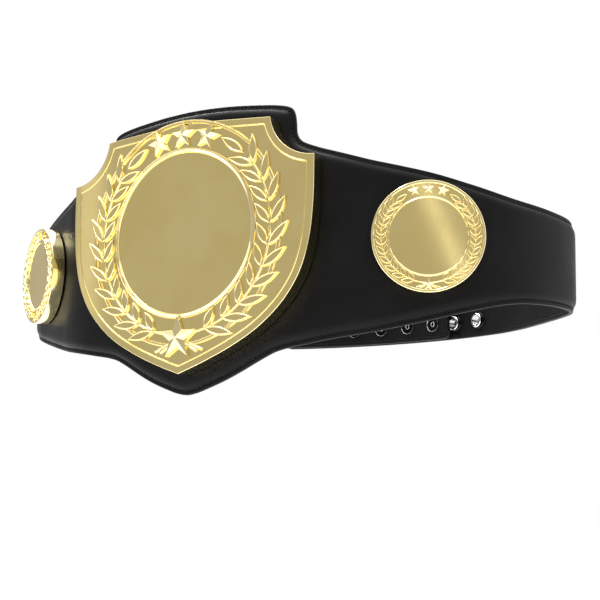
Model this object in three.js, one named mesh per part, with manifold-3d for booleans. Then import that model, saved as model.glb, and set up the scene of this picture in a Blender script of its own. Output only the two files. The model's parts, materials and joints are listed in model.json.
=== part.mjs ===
// Championship title belt, worn size, closed at the back with two rows of snaps.
// Frame: origin at the middle of the waist loop, half way up the strap at the back.
// +X to the wearer's left, +Y to the wearer's back, +Z up. Millimetres.
// The strap is drawn flat and then wrapped: s runs along the strap from the middle of the front
// (+s towards +X), z is the height, and off is the distance out from the plates' seat.
import * as THREE from "three";
import { mergeVertices } from "three/addons/utils/BufferGeometryUtils.js";
import Module from "manifold-3d";

const wasm = await Module();
wasm.setup();

// Plan of the loop, one half, from the middle of the front to the middle of the back.
const FRONT_RADIUS = 892;
const FRONT_LENGTH = 96.9;
const KNUCKLE_RADIUS = 82.4;
const KNUCKLE_TURN = 22.06;
const SIDE_SEAT_RADIUS = 3000;
const SIDE_SEAT_LENGTH = 54.14;
const HIP_FRONT_RADIUS = 101.36;
const HIP_FRONT_TURN = 58.28;
const HIP_BACK_RADIUS = 32.86;
const BACK_RADIUS = 300.26;

// Strap.
const LEATHER = 2.8;
const PADDING = 2.2;
const SEAM_INSET = 3.4;
const PAD_SHOULDER = 2.6;
const PAD_END = 300;
const PAD_FADE = 30;
const STRAP_TOP = 110.9;
const STRAP_LOW = 88.8;
const BACK_HEIGHT = 60;
const SHAPED_RUN = 330;
const LOW_SHIFT = 4;
const LOW_SHIFT_RUN = 110;
const END_CORNER = 6;
const BACK_STEP = 24.5;

// Edges of the strap's front half, paired rib by rib. The runs are shares of SHAPED_RUN. The rise
// of the top edge and the fall of the lower edge are shares of what the middle of the front has
// more than the back.
const EDGES = [
  { topRun: 0, rise: 1, lowRun: 0, fall: 1, ribs: 1 },
  { topRun: 0.0788, rise: 0.9889, lowRun: 0.0242, fall: 0.9796, ribs: 1 },
  { topRun: 0.1515, rise: 0.9617, lowRun: 0.0576, fall: 0.9201, ribs: 1 },
  { topRun: 0.1939, rise: 0.9394, lowRun: 0.0939, fall: 0.8435, ribs: 1 },
  { topRun: 0.2212, rise: 0.9135, lowRun: 0.1303, fall: 0.75, ribs: 2 },
  { topRun: 0.2312, rise: 0.89, lowRun: 0.1576, fall: 0.6718, ribs: 1 },
  { topRun: 0.2373, rise: 0.843, lowRun: 0.1818, fall: 0.6037, ribs: 2 },
  { topRun: 0.2403, rise: 0.7664, lowRun: 0.203, fall: 0.551, ribs: 2 },
  { topRun: 0.2421, rise: 0.6799, lowRun: 0.2242, fall: 0.5187, ribs: 2 },
  { topRun: 0.2479, rise: 0.6304, lowRun: 0.2424, fall: 0.5, ribs: 1 },
  { topRun: 0.2576, rise: 0.5958, lowRun: 0.2576, fall: 0.4864, ribs: 1 },
  { topRun: 0.2727, rise: 0.5674, lowRun: 0.2758, fall: 0.4711, ribs: 2 },
  { topRun: 0.2939, rise: 0.534, lowRun: 0.297, fall: 0.4524, ribs: 2 },
  { topRun: 0.3212, rise: 0.4994, lowRun: 0.3242, fall: 0.4286, ribs: 2 },
  { topRun: 0.397, rise: 0.4153, lowRun: 0.397, fall: 0.3673, ribs: 1 },
  { topRun: 0.4606, rise: 0.3597, lowRun: 0.4606, fall: 0.2959, ribs: 1 },
  { topRun: 0.5212, rise: 0.3028, lowRun: 0.5212, fall: 0.2211, ribs: 2 },
  { topRun: 0.6061, rise: 0.204, lowRun: 0.6061, fall: 0.1105, ribs: 3 },
  { topRun: 0.697, rise: 0.1137, lowRun: 0.697, fall: 0.0102, ribs: 3 },
  { topRun: 0.7939, rise: 0.0667, lowRun: 0.7939, fall: -0.017, ribs: 2 },
  { topRun: 0.8636, rise: 0.0445, lowRun: 0.8636, fall: -0.0136, ribs: 3 },
  { topRun: 0.9091, rise: 0.0247, lowRun: 0.9091, fall: -0.0085, ribs: 4 },
  { topRun: 1, rise: 0, lowRun: 1, fall: 0, ribs: 0 },
];

// Closure at the back: the outer end lies over the inner end. The first closed column stands past
// the middle of the back, and the open columns follow the closed ones on the outer end alone.
const LIFT_START = 330;
const LIFT_LENGTH = 95;
const SNAP_ROW_HEIGHT = 17.6;
const FIRST_COLUMN = 8.12;
const CLOSED_COLUMNS = 4;
const CLOSED_PITCH = 26.3;
const OPEN_STEPS = [17.5, 25.1];
const OUTER_FLAP = 67.3;
const INNER_MARGIN = 16.9;
const SNAP_SIDES = 8;
const HOLE_SIDES = 6;
const HOLE_RADIUS = 2.3;
const POST_RADIUS = 1.6;
const EYELET_RADIUS = 6;
const EYELET_HEIGHT = 0.9;
const STUD_RADIUS = 4.9;
const STUD_FLANGE = 0.7;
const KNOB_RADIUS = 3.1;
const KNOB_HEIGHT = 2.9;
const SOCKET_RADIUS = 5.4;
const SOCKET_HEIGHT = 3.2;
const CAP_RADIUS = 7.2;
const CAP_HEIGHT = 1.8;
const CLEARANCE = 0.3;
const OVERLAP_GAP = STUD_FLANGE + SOCKET_HEIGHT + 3 * CLEARANCE;

// Plates.
const SEAT_GAP = 0.4;
const EDGE_BEVEL = 0.5;
const TRIM_REACH = 9;
const SLAB_STEP = 20;
const SHIELD_FACE = 13.2;
const SHIELD_HALF = 100.2;
const SHIELD_TOP = 96.3;
const SHIELD_TIP = -75.9;
const SHOULDER_RADIUS = 33;
const SHOULDER_STEPS = 5;

// Right half of the shield's outline: across is a share of SHIELD_HALF, and up is a share of the
// way from the tip to the top.
const SHIELD_HEAD = [
  { across: 0, up: 1 },
  { across: 0.2196, up: 0.9983 },
  { across: 0.4591, up: 0.9901 },
];
const TOP_CORNER = { across: 0.6786, up: 0.9826 };
const SIDE_CORNER = { across: 1, up: 0.8177 };
const SHIELD_SIDE = [
  { across: 0.997, up: 0.6382 },
  { across: 0.9731, up: 0.4901 },
  { across: 0.9242, up: 0.3856 },
  { across: 0.8543, up: 0.3084 },
  { across: 0.7545, up: 0.2358 },
  { across: 0.6088, up: 0.1632 },
  { across: 0.4192, up: 0.0987 },
  { across: 0.1996, up: 0.0424 },
];
const BORDER_INSET = 4.3;
const BORDER_WIDTH = 1.5;
const BORDER_HEIGHT = 0.8;
const SIDE_PLATE_RUN = 41.53;
const SIDE_PLATE_Z = 9.7;
const SIDE_PLATE_RADIUS = 36.7;
const SIDE_PLATE_FACE = 9.1;
const SIDE_PLATE_SIDES = 36;
const SIDE_RIM_WIDTH = 2.1;
const SIDE_RIM_HEIGHT = 1;

// Wreaths: distances from the middle of the bare disc, angles from straight down.
const LEAVES = 10;
const BASE_ANGLE = { first: 17.8, last: 126.5 };
const OUTER_TIP_ANGLE = { first: 31.3, last: 138.1 };
const INNER_TIP_ANGLE = { first: 28.2, last: 142 };
const END_LEAF_ANGLE = { base: 136.2, tip: 153.3 };
const STEM_ANGLE = { first: 6, last: 129 };
const STAR_SPACING = 17.4;
const STAR_WAIST = 0.42;
const EMBED = 0.6;
const SHIELD_WREATH = {
  centre: 20.75, ringInner: 55.6, ringOuter: 59.2, ringHeight: 1.4, ringSides: 32,
  stem: 70, stemWidth: 1.7, stemHeight: 1, outerTip: 83.4, innerTip: 60, leafWidth: 5.6, leafHeight: 1.9,
  hoopInner: 76, hoopOuter: 78.7, hoopHeight: 1.3, hoopSides: 32, hoopDepth: 4,
  starCentre: 67.8, starRadius: 9.6, starEdge: 2, starPeak: 3.6,
  footCentre: 72.2, footRadius: 15.6, footEdge: 2.2, footPeak: 4.4,
  tailStart: 72, tailEnd: 81.5, tailSpread: 11.4, tailWidth: 2.6,
};
const SIDE_WREATH = {
  centre: 0, ringInner: 25, ringOuter: 26.4, ringHeight: 1, ringSides: 28,
  stem: 30.3, stemWidth: 1, stemHeight: 0.6, outerTip: 34.2, innerTip: 26.9, leafWidth: 3, leafHeight: 1.3,
  hoopInner: 0, hoopOuter: 0, hoopHeight: 0, hoopSides: 0, hoopDepth: 0,
  starCentre: 31.2, starRadius: 4, starEdge: 0, starPeak: 1.5,
  footCentre: 31.6, footRadius: 4.6, footEdge: 0, footPeak: 1.6,
  tailStart: 31, tailEnd: 33.6, tailSpread: 9, tailWidth: 1.2,
};

const rad = THREE.MathUtils.degToRad;

// Wrapping the flat strap around the loop.

function planArcs() {
  const frontTurn = FRONT_LENGTH / FRONT_RADIUS;
  const rows = [
    { turn: frontTurn, radius: FRONT_RADIUS },
    { turn: rad(KNUCKLE_TURN), radius: KNUCKLE_RADIUS },
    { turn: SIDE_SEAT_LENGTH / SIDE_SEAT_RADIUS, radius: SIDE_SEAT_RADIUS },
  ];
  rows.push({ turn: rad(HIP_FRONT_TURN), radius: HIP_FRONT_RADIUS });
  let angle = 0;
  let x = 0;
  for (const row of rows) {
    x += row.radius * (Math.sin(angle + row.turn) - Math.sin(angle));
    angle += row.turn;
  }
  // The back arc is centred on the middle plane, which settles how far the back of the hip turns.
  const reach = x - HIP_BACK_RADIUS * Math.sin(angle);
  const hipEnd = Math.PI - Math.asin(reach / (BACK_RADIUS - HIP_BACK_RADIUS));
  rows.push({ turn: hipEnd - angle, radius: HIP_BACK_RADIUS });
  rows.push({ turn: Math.PI - hipEnd, radius: BACK_RADIUS });
  return rows;
}

const ARCS = planArcs();
const HALF = ARCS.reduce((sum, arc) => sum + arc.turn * arc.radius, 0);
const SIDE_PLATE_S = FRONT_LENGTH + ARCS[1].turn * ARCS[1].radius + SIDE_PLATE_RUN;

function walk(s) {
  let rest = Math.abs(s);
  let angle = 0;
  let x = 0;
  let y = 0;
  for (const arc of ARCS) {
    const turn = Math.min(rest / arc.radius, arc.turn);
    x += arc.radius * (Math.sin(angle + turn) - Math.sin(angle));
    y += arc.radius * (Math.cos(angle) - Math.cos(angle + turn));
    angle += turn;
    rest -= turn * arc.radius;
    if (rest <= 1e-9) {
      break;
    }
  }
  return s < 0 ? { x: -x, y, angle: -angle } : { x, y, angle };
}

const DEPTH = walk(HALF).y;

function wrap(s, z, off) {
  const turns = Math.round(s / (2 * HALF));
  const p = walk(s - turns * 2 * HALF);
  return new THREE.Vector3(p.x + off * Math.sin(p.angle), p.y - DEPTH / 2 - off * Math.cos(p.angle), z);
}

function angleAt(s) {
  return walk(s - Math.round(s / (2 * HALF)) * 2 * HALF).angle;
}

// Solids.

// Joins a row of sections, each a loop of the same number of points, into one closed skin.
function loft(sections, closed = false, peak = null) {
  const n = sections[0].length;
  const points = sections.flat();
  const faces = [];
  const steps = closed ? sections.length : sections.length - 1;
  for (let i = 0; i < steps; i += 1) {
    const a = i * n;
    const b = ((i + 1) % sections.length) * n;
    for (let j = 0; j < n; j += 1) {
      const k = (j + 1) % n;
      faces.push(a + j, b + j, b + k, a + j, b + k, a + k);
    }
  }
  if (!closed) {
    const last = (sections.length - 1) * n;
    for (let j = 1; j < n - 1; j += 1) {
      faces.push(0, j, j + 1);
    }
    if (peak) {
      points.push(peak);
      for (let j = 0; j < n; j += 1) {
        faces.push(last + j, points.length - 1, last + ((j + 1) % n));
      }
    } else {
      for (let j = 1; j < n - 1; j += 1) {
        faces.push(last, last + j + 1, last + j);
      }
    }
  }
  const geometry = new THREE.BufferGeometry().setFromPoints(points);
  geometry.setIndex(faces);
  return outward(geometry);
}

function outward(geometry) {
  const p = geometry.attributes.position;
  const index = geometry.index.array;
  const a = new THREE.Vector3();
  const b = new THREE.Vector3();
  const c = new THREE.Vector3();
  let volume = 0;
  for (let i = 0; i < index.length; i += 3) {
    a.fromBufferAttribute(p, index[i]);
    b.fromBufferAttribute(p, index[i + 1]);
    c.fromBufferAttribute(p, index[i + 2]);
    volume += a.dot(b.cross(c));
  }
  if (volume < 0) {
    for (let i = 0; i < index.length; i += 3) {
      [index[i + 1], index[i + 2]] = [index[i + 2], index[i + 1]];
    }
  }
  return geometry;
}

function toSolid(geometry) {
  const bare = geometry.clone();
  bare.deleteAttribute("normal");
  bare.deleteAttribute("uv");
  const merged = mergeVertices(bare, 1e-4);
  return new wasm.Manifold(new wasm.Mesh({
    numProp: 3,
    vertProperties: new Float32Array(merged.attributes.position.array),
    triVerts: new Uint32Array(merged.index.array),
  }));
}

function fromSolid(solid) {
  const mesh = solid.getMesh();
  const geometry = new THREE.BufferGeometry();
  geometry.setAttribute("position", new THREE.BufferAttribute(new Float32Array(mesh.vertProperties), 3));
  geometry.setIndex(new THREE.BufferAttribute(new Uint32Array(mesh.triVerts), 1));
  return geometry;
}

function joinAll(geometries) {
  let solid = toSolid(geometries[0]);
  for (const geometry of geometries.slice(1)) {
    solid = solid.add(toSolid(geometry));
  }
  return fromSolid(solid);
}

function smooth(t) {
  const u = THREE.MathUtils.clamp(t, 0, 1);
  return u * u * (3 - 2 * u);
}

// Strap solid.

function snapColumns() {
  const columns = [];
  let s = HALF + FIRST_COLUMN;
  for (let i = 0; i < CLOSED_COLUMNS; i += 1) {
    columns.push({ name: `${i + 1}`, s: s - i * CLOSED_PITCH, closed: true });
  }
  s -= (CLOSED_COLUMNS - 1) * CLOSED_PITCH;
  for (const step of OPEN_STEPS) {
    s -= step;
    columns.push({ name: `${columns.length + 1}`, s, closed: false });
  }
  return columns;
}

const SNAP_COLUMNS = snapColumns();
const OUTER_END = SNAP_COLUMNS[0].s + OUTER_FLAP;
const INNER_END = SNAP_COLUMNS[CLOSED_COLUMNS - 1].s - INNER_MARGIN - 2 * HALF;

function edgeRibs() {
  const half = BACK_HEIGHT / 2;
  const top = new THREE.CatmullRomCurve3(EDGES.map((e) => (
    new THREE.Vector3(e.topRun * SHAPED_RUN, half + e.rise * (STRAP_TOP - half), 0))));
  const low = new THREE.CatmullRomCurve3(EDGES.map((e) => (
    new THREE.Vector3(e.lowRun * SHAPED_RUN, -half - e.fall * (STRAP_LOW - half), 0))));
  const ribs = [];
  EDGES.forEach((edge, i) => {
    for (let k = 0; k < Math.max(edge.ribs, 1); k += 1) {
      const t = (i + k / Math.max(edge.ribs, 1)) / (EDGES.length - 1);
      ribs.push({ top: top.getPoint(t), low: low.getPoint(t) });
    }
  });
  return ribs;
}

function backRibs(to) {
  const stations = [];
  const last = to - END_CORNER;
  const count = Math.ceil((last - SHAPED_RUN) / BACK_STEP);
  for (let i = 1; i <= count; i += 1) {
    stations.push(SHAPED_RUN + ((last - SHAPED_RUN) * i) / count);
  }
  for (const share of [0.5, 0.8, 1]) {
    stations.push(last + END_CORNER * share);
  }
  return stations.map((s) => {
    const over = Math.max(s - last, 0);
    const half = BACK_HEIGHT / 2 - END_CORNER + Math.sqrt(Math.max(END_CORNER ** 2 - over ** 2, 0));
    return { top: new THREE.Vector3(s, half, 0), low: new THREE.Vector3(s, -half, 0) };
  });
}

function inward(ribs, i, edge) {
  const before = ribs[Math.max(i - 1, 0)][edge];
  const after = ribs[Math.min(i + 1, ribs.length - 1)][edge];
  const run = after.clone().sub(before).normalize();
  return edge === "top" ? new THREE.Vector2(run.y, -run.x) : new THREE.Vector2(-run.y, run.x);
}

function lift(s) {
  return (LEATHER + OVERLAP_GAP) * smooth((s - LIFT_START) / LIFT_LENGTH);
}

function pad(s) {
  return PADDING * (1 - smooth((Math.abs(s) - PAD_END) / PAD_FADE));
}

function strapSolid() {
  const front = edgeRibs();
  const right = front.concat(backRibs(OUTER_END));
  const left = front.concat(backRibs(-INNER_END));
  const mirrored = left.slice(1).reverse().map((r) => ({
    top: new THREE.Vector3(-r.top.x, r.top.y, 0),
    low: new THREE.Vector3(-r.low.x, r.low.y, 0),
  }));
  const ribs = mirrored.concat(right);
  // The panel's lowest point stands a little to the wearer's right of the shield's tip.
  for (const rib of ribs) {
    rib.low = rib.low.clone();
    rib.low.x -= LOW_SHIFT * (1 - smooth(Math.abs(rib.low.x) / LOW_SHIFT_RUN));
  }
  const sections = ribs.map((rib, i) => {
    const point = (edge, inset, height) => {
      const n = inward(ribs, i, edge);
      const s = rib[edge].x + n.x * inset;
      const z = rib[edge].y + n.y * inset;
      return wrap(s, z, -PADDING + pad(s) * height + lift(s));
    };
    const back = (edge) => wrap(rib[edge].x, rib[edge].y, -PADDING - LEATHER + lift(rib[edge].x));
    return [
      back("low"),
      point("low", 0, 0),
      point("low", SEAM_INSET, 0),
      point("low", SEAM_INSET + PAD_SHOULDER * 0.35, 0.62),
      point("low", SEAM_INSET + PAD_SHOULDER, 1),
      point("top", SEAM_INSET + PAD_SHOULDER, 1),
      point("top", SEAM_INSET + PAD_SHOULDER * 0.35, 0.62),
      point("top", SEAM_INSET, 0),
      point("top", 0, 0),
      back("top"),
    ];
  });
  return toSolid(loft(sections));
}

// Snaps.

function latheSolid(profile) {
  const points = profile.map(([r, h]) => new THREE.Vector2(r, h));
  const geometry = new THREE.LatheGeometry(points, SNAP_SIDES);
  geometry.deleteAttribute("normal");
  geometry.deleteAttribute("uv");
  return outward(mergeVertices(geometry, 1e-4));
}

// Heights are measured outwards from the leather's inner face.
function studGeometry() {
  const inside = -CLEARANCE;
  const outside = LEATHER + CLEARANCE;
  return latheSolid([
    [0, inside - EYELET_HEIGHT],
    [EYELET_RADIUS, inside],
    [POST_RADIUS, inside],
    [POST_RADIUS, outside],
    [STUD_RADIUS, outside],
    [KNOB_RADIUS, outside + STUD_FLANGE],
    [KNOB_RADIUS, outside + KNOB_HEIGHT],
    [0, outside + KNOB_HEIGHT],
  ]);
}

function socketGeometry() {
  const inside = -CLEARANCE;
  const outside = LEATHER + CLEARANCE;
  const bore = KNOB_RADIUS + CLEARANCE;
  const floor = inside - SOCKET_HEIGHT + KNOB_HEIGHT - STUD_FLANGE;
  return latheSolid([
    [0, floor],
    [bore, floor],
    [bore, inside - SOCKET_HEIGHT],
    [SOCKET_RADIUS, inside - SOCKET_HEIGHT],
    [SOCKET_RADIUS, inside],
    [POST_RADIUS, inside],
    [POST_RADIUS, outside],
    [CAP_RADIUS, outside],
    [0, outside + CAP_HEIGHT],
  ]);
}

// Stands a turned piece on the strap with its axis pointing straight out.
function place(mesh, s, z, off) {
  mesh.position.copy(wrap(s, z, off));
  mesh.rotation.z = Math.PI + angleAt(s);
}

function snapHole(s, z, off) {
  const hole = new THREE.CylinderGeometry(HOLE_RADIUS, HOLE_RADIUS, LEATHER * 3, HOLE_SIDES);
  const at = new THREE.Mesh(hole);
  place(at, s, z, off);
  at.updateMatrixWorld();
  return toSolid(hole.applyMatrix4(at.matrixWorld));
}

// Plates.

function shieldPoint(row) {
  return { s: row.across * SHIELD_HALF, z: SHIELD_TIP + row.up * (SHIELD_TOP - SHIELD_TIP) };
}

function shieldSide() {
  const top = shieldPoint(TOP_CORNER);
  const side = shieldPoint(SIDE_CORNER);
  const chord = new THREE.Vector2(side.s - top.s, side.z - top.z);
  const half = chord.length() / 2;
  const out = new THREE.Vector2(-chord.y, chord.x).normalize();
  const centre = new THREE.Vector2(top.s, top.z).addScaledVector(chord, 0.5)
    .addScaledVector(out, Math.sqrt(SHOULDER_RADIUS ** 2 - half ** 2));
  const from = Math.atan2(top.z - centre.y, top.s - centre.x);
  const to = Math.atan2(side.z - centre.y, side.s - centre.x);
  const sweep = THREE.MathUtils.euclideanModulo(to - from, 2 * Math.PI);
  const shoulder = [];
  for (let i = 1; i < SHOULDER_STEPS; i += 1) {
    const a = from + (sweep * i) / SHOULDER_STEPS;
    shoulder.push({ s: centre.x + SHOULDER_RADIUS * Math.cos(a), z: centre.y + SHOULDER_RADIUS * Math.sin(a) });
  }
  return [top, ...shoulder, side, ...SHIELD_SIDE.map(shieldPoint)];
}

function shieldOutline() {
  const right = [...SHIELD_HEAD.map(shieldPoint), ...shieldSide()];
  const left = right.slice(1).reverse().map((p) => ({ s: -p.s, z: p.z }));
  return [...right, { s: 0, z: SHIELD_TIP }, ...left];
}

// The plate is a curved slab cut to the outline, with its front edge bevelled all round.
function shieldBase() {
  const outline = shieldOutline();
  const walls = [
    { in: 0, off: SEAT_GAP - TRIM_REACH },
    { in: 0, off: SHIELD_FACE - EDGE_BEVEL },
    { in: EDGE_BEVEL + TRIM_REACH, off: SHIELD_FACE + TRIM_REACH },
  ].map((row) => inset(outline, row.in).map((p) => wrap(p.s, p.z, row.off)));
  const stations = [-FRONT_LENGTH - SLAB_STEP];
  const count = Math.ceil(FRONT_LENGTH / SLAB_STEP);
  for (let i = -count; i <= count; i += 1) {
    stations.push((FRONT_LENGTH * i) / count);
  }
  stations.push(FRONT_LENGTH + SLAB_STEP);
  const top = SHIELD_TOP + TRIM_REACH;
  const low = SHIELD_TIP - TRIM_REACH;
  const slab = loft(stations.map((s) => [
    wrap(s, low, SEAT_GAP),
    wrap(s, low, SHIELD_FACE),
    wrap(s, top, SHIELD_FACE),
    wrap(s, top, SEAT_GAP),
  ]));
  return fromSolid(toSolid(loft(walls)).intersect(toSolid(slab)));
}

// Moves a closed outline in by a distance, keeping its corners sharp.
function inset(outline, distance) {
  const n = outline.length;
  return outline.map((p, i) => {
    const a = outline[(i + n - 1) % n];
    const b = outline[(i + 1) % n];
    const u = new THREE.Vector2(p.s - a.s, p.z - a.z).normalize();
    const v = new THREE.Vector2(b.s - p.s, b.z - p.z).normalize();
    const m = new THREE.Vector2(u.y + v.y, -u.x - v.x).normalize();
    const reach = distance / Math.max(m.x * u.y - m.y * u.x, 0.35);
    return { s: p.s + m.x * reach, z: p.z + m.y * reach };
  });
}

function borderLine(outline) {
  const rows = [
    { in: 0, up: -EMBED },
    { in: BORDER_WIDTH / 2, up: BORDER_HEIGHT },
    { in: BORDER_WIDTH, up: -EMBED },
  ].map((row) => inset(outline, BORDER_INSET + row.in).map((p) => wrap(p.s, p.z, SHIELD_FACE + row.up)));
  return loft(outline.map((_, i) => rows.map((row) => row[i])), true);
}

// Every relief piece is drawn about the disc's middle as (a, b, up) and set on its plate by put.
function polar(distance, degrees, side) {
  return { a: side * distance * Math.sin(rad(degrees)), b: -distance * Math.cos(rad(degrees)) };
}

function bandRing(put, rows, sides) {
  const sections = [];
  for (let i = 0; i < sides; i += 1) {
    const angle = (360 * i) / sides;
    sections.push(rows.map((row) => {
      const p = polar(row.radius, angle, 1);
      return put(p.a, p.b, row.up);
    }));
  }
  return loft(sections, true);
}

// A leaf is a pointed outline that rises to a crest.
function leaf(put, base, tip, width, height) {
  const along = new THREE.Vector2(tip.a - base.a, tip.b - base.b);
  const across = new THREE.Vector2(-along.y, along.x).normalize();
  const at = (t, w, up) => put(base.a + along.x * t + across.x * w, base.b + along.y * t + across.y * w, up);
  const sink = -EMBED / 3;
  const foot = [at(0, 0, sink), at(0.45, width / 2, sink), at(1, 0, sink), at(0.45, -width / 2, sink)];
  return loft([foot], false, at(0.5, 0, height));
}

function star(put, centre, radius, tilt, edge, peak) {
  const ring = (up) => Array.from({ length: 10 }, (_, i) => {
    const angle = rad(tilt + 36 * i);
    const r = radius * (i % 2 ? STAR_WAIST : 1);
    return put(centre.a - r * Math.sin(angle), centre.b + r * Math.cos(angle), up);
  });
  const rings = edge > 0 ? [ring(-EMBED), ring(edge)] : [ring(-EMBED / 3)];
  return loft(rings, false, put(centre.a, centre.b, peak));
}

function bar(put, from, to, width, height) {
  const along = new THREE.Vector2(to.a - from.a, to.b - from.b).normalize();
  const section = (p) => [[-0.5, -EMBED], [-0.5, height * 0.5], [-0.2, height], [0.2, height],
    [0.5, height * 0.5], [0.5, -EMBED]].map(([w, up]) => put(p.a - along.y * w * width, p.b + along.x * w * width, up));
  return loft([section(from), section(to)]);
}

function stemArc(put, w, side) {
  const steps = 9;
  const sections = [];
  for (let i = 0; i <= steps; i += 1) {
    const angle = THREE.MathUtils.lerp(STEM_ANGLE.first, STEM_ANGLE.last, i / steps);
    sections.push([[-0.5, -EMBED], [0, w.stemHeight], [0.5, -EMBED]].map(([t, up]) => {
      const p = polar(w.stem + t * w.stemWidth, angle, side);
      return put(p.a, p.b, up);
    }));
  }
  return loft(sections);
}

function wreath(put, w) {
  const pieces = [];
  pieces.push(bandRing(put, [
    { radius: w.ringInner, up: -EMBED },
    { radius: THREE.MathUtils.lerp(w.ringInner, w.ringOuter, 0.7), up: w.ringHeight },
    { radius: w.ringOuter, up: -EMBED },
  ], w.ringSides));
  if (w.hoopSides > 0) {
    pieces.push(bandRing(put, [
      { radius: w.hoopInner, up: -EMBED },
      { radius: (w.hoopInner + w.hoopOuter) / 2, up: w.hoopHeight },
      { radius: w.hoopOuter, up: -EMBED },
      { radius: w.hoopOuter, up: -w.hoopDepth },
    ], w.hoopSides));
  }
  for (const side of [-1, 1]) {
    pieces.push(stemArc(put, w, side));
    for (let i = 0; i < LEAVES; i += 1) {
      const at = (range) => THREE.MathUtils.lerp(range.first, range.last, i / (LEAVES - 1));
      const lean = w.stemWidth * 0.3;
      pieces.push(leaf(put, polar(w.stem + lean, at(BASE_ANGLE), side), polar(w.outerTip, at(OUTER_TIP_ANGLE), side),
        w.leafWidth, w.leafHeight));
      pieces.push(leaf(put, polar(w.stem - lean, at(BASE_ANGLE), side), polar(w.innerTip, at(INNER_TIP_ANGLE), side),
        w.leafWidth, w.leafHeight));
    }
    pieces.push(leaf(put, polar(w.stem, END_LEAF_ANGLE.base, side), polar(w.stem, END_LEAF_ANGLE.tip, side),
      w.leafWidth * 1.1, w.leafHeight));
    const start = polar(w.tailStart, 0, 1);
    pieces.push(bar(put, start, polar(w.tailEnd, w.tailSpread, side), w.tailWidth, w.stemHeight));
  }
  for (const step of [-1, 0, 1]) {
    const centre = polar(w.starCentre, 180 - STAR_SPACING * step, 1);
    pieces.push(star(put, centre, w.starRadius, -STAR_SPACING * step, w.starEdge, w.starPeak));
  }
  pieces.push(star(put, polar(w.footCentre, 0, 1), w.footRadius, 0, w.footEdge, w.footPeak));
  return pieces;
}

function shieldGeometry() {
  const put = (a, b, up) => wrap(a, SHIELD_WREATH.centre + b, SHIELD_FACE + up);
  return joinAll([shieldBase(), borderLine(shieldOutline()), ...wreath(put, SHIELD_WREATH)]);
}

// The side plates are flat: (a, b, up) are straight along the seat, up and out.
function sidePlateGeometry() {
  const put = (a, b, up) => new THREE.Vector3(a, -(SIDE_PLATE_FACE + up), b);
  const sides = SIDE_PLATE_SIDES;
  const circle = (radius, up) => Array.from({ length: sides }, (_, i) => {
    const p = polar(radius, (360 * i) / sides, 1);
    return put(p.a, p.b, up);
  });
  const base = loft([
    circle(SIDE_PLATE_RADIUS, SEAT_GAP - SIDE_PLATE_FACE),
    circle(SIDE_PLATE_RADIUS, SIDE_RIM_HEIGHT - EDGE_BEVEL),
    circle(SIDE_PLATE_RADIUS - EDGE_BEVEL, SIDE_RIM_HEIGHT),
    circle(SIDE_PLATE_RADIUS - SIDE_RIM_WIDTH + 0.4, SIDE_RIM_HEIGHT),
    circle(SIDE_PLATE_RADIUS - SIDE_RIM_WIDTH, 0),
  ]);
  return joinAll([base, ...wreath(put, SIDE_WREATH)]);
}

// Assembly.

const leather = new THREE.MeshStandardMaterial({ color: 0x17171a, roughness: 0.55, metalness: 0 });
const gold = new THREE.MeshStandardMaterial({ color: 0xb8a766, roughness: 0.28, metalness: 1 });
const blackMetal = new THREE.MeshStandardMaterial({ color: 0x1c1c1e, roughness: 0.35, metalness: 0.6 });
const nickel = new THREE.MeshStandardMaterial({ color: 0xc9ccd0, roughness: 0.25, metalness: 1 });

const belt = new THREE.Group();

function addMesh(name, geometry, material) {
  const mesh = new THREE.Mesh(geometry, material);
  mesh.name = name;
  belt.add(mesh);
  return mesh;
}

const INNER_FACE = -PADDING - LEATHER;
const OUTER_PART_FACE = INNER_FACE + LEATHER + OVERLAP_GAP;
let strap = strapSolid();
for (const column of SNAP_COLUMNS) {
  for (const [row, z] of [["upper", SNAP_ROW_HEIGHT], ["lower", -SNAP_ROW_HEIGHT]]) {
    const outer = addMesh(`snap_socket_${row}_${column.name}`, socketGeometry(), nickel.clone());
    place(outer, column.s, z, OUTER_PART_FACE);
    strap = strap.subtract(snapHole(column.s, z, OUTER_PART_FACE + LEATHER / 2));
    if (column.closed) {
      const inner = addMesh(`snap_stud_${row}_${column.name}`, studGeometry(), blackMetal.clone());
      place(inner, column.s, z, INNER_FACE);
      strap = strap.subtract(snapHole(column.s, z, INNER_FACE + LEATHER / 2));
    }
  }
}
addMesh("strap", fromSolid(strap), leather);
addMesh("shield_plate", shieldGeometry(), gold);
for (const [name, side] of [["side_plate_right", -1], ["side_plate_left", 1]]) {
  const plate = addMesh(name, sidePlateGeometry(), gold.clone());
  plate.position.copy(wrap(side * SIDE_PLATE_S, SIDE_PLATE_Z, 0));
  plate.rotation.z = angleAt(side * SIDE_PLATE_S);
}

export default belt;
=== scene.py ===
import json
import math

import bmesh
import bpy
import numpy as np
from mathutils import Matrix, Vector

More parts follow.
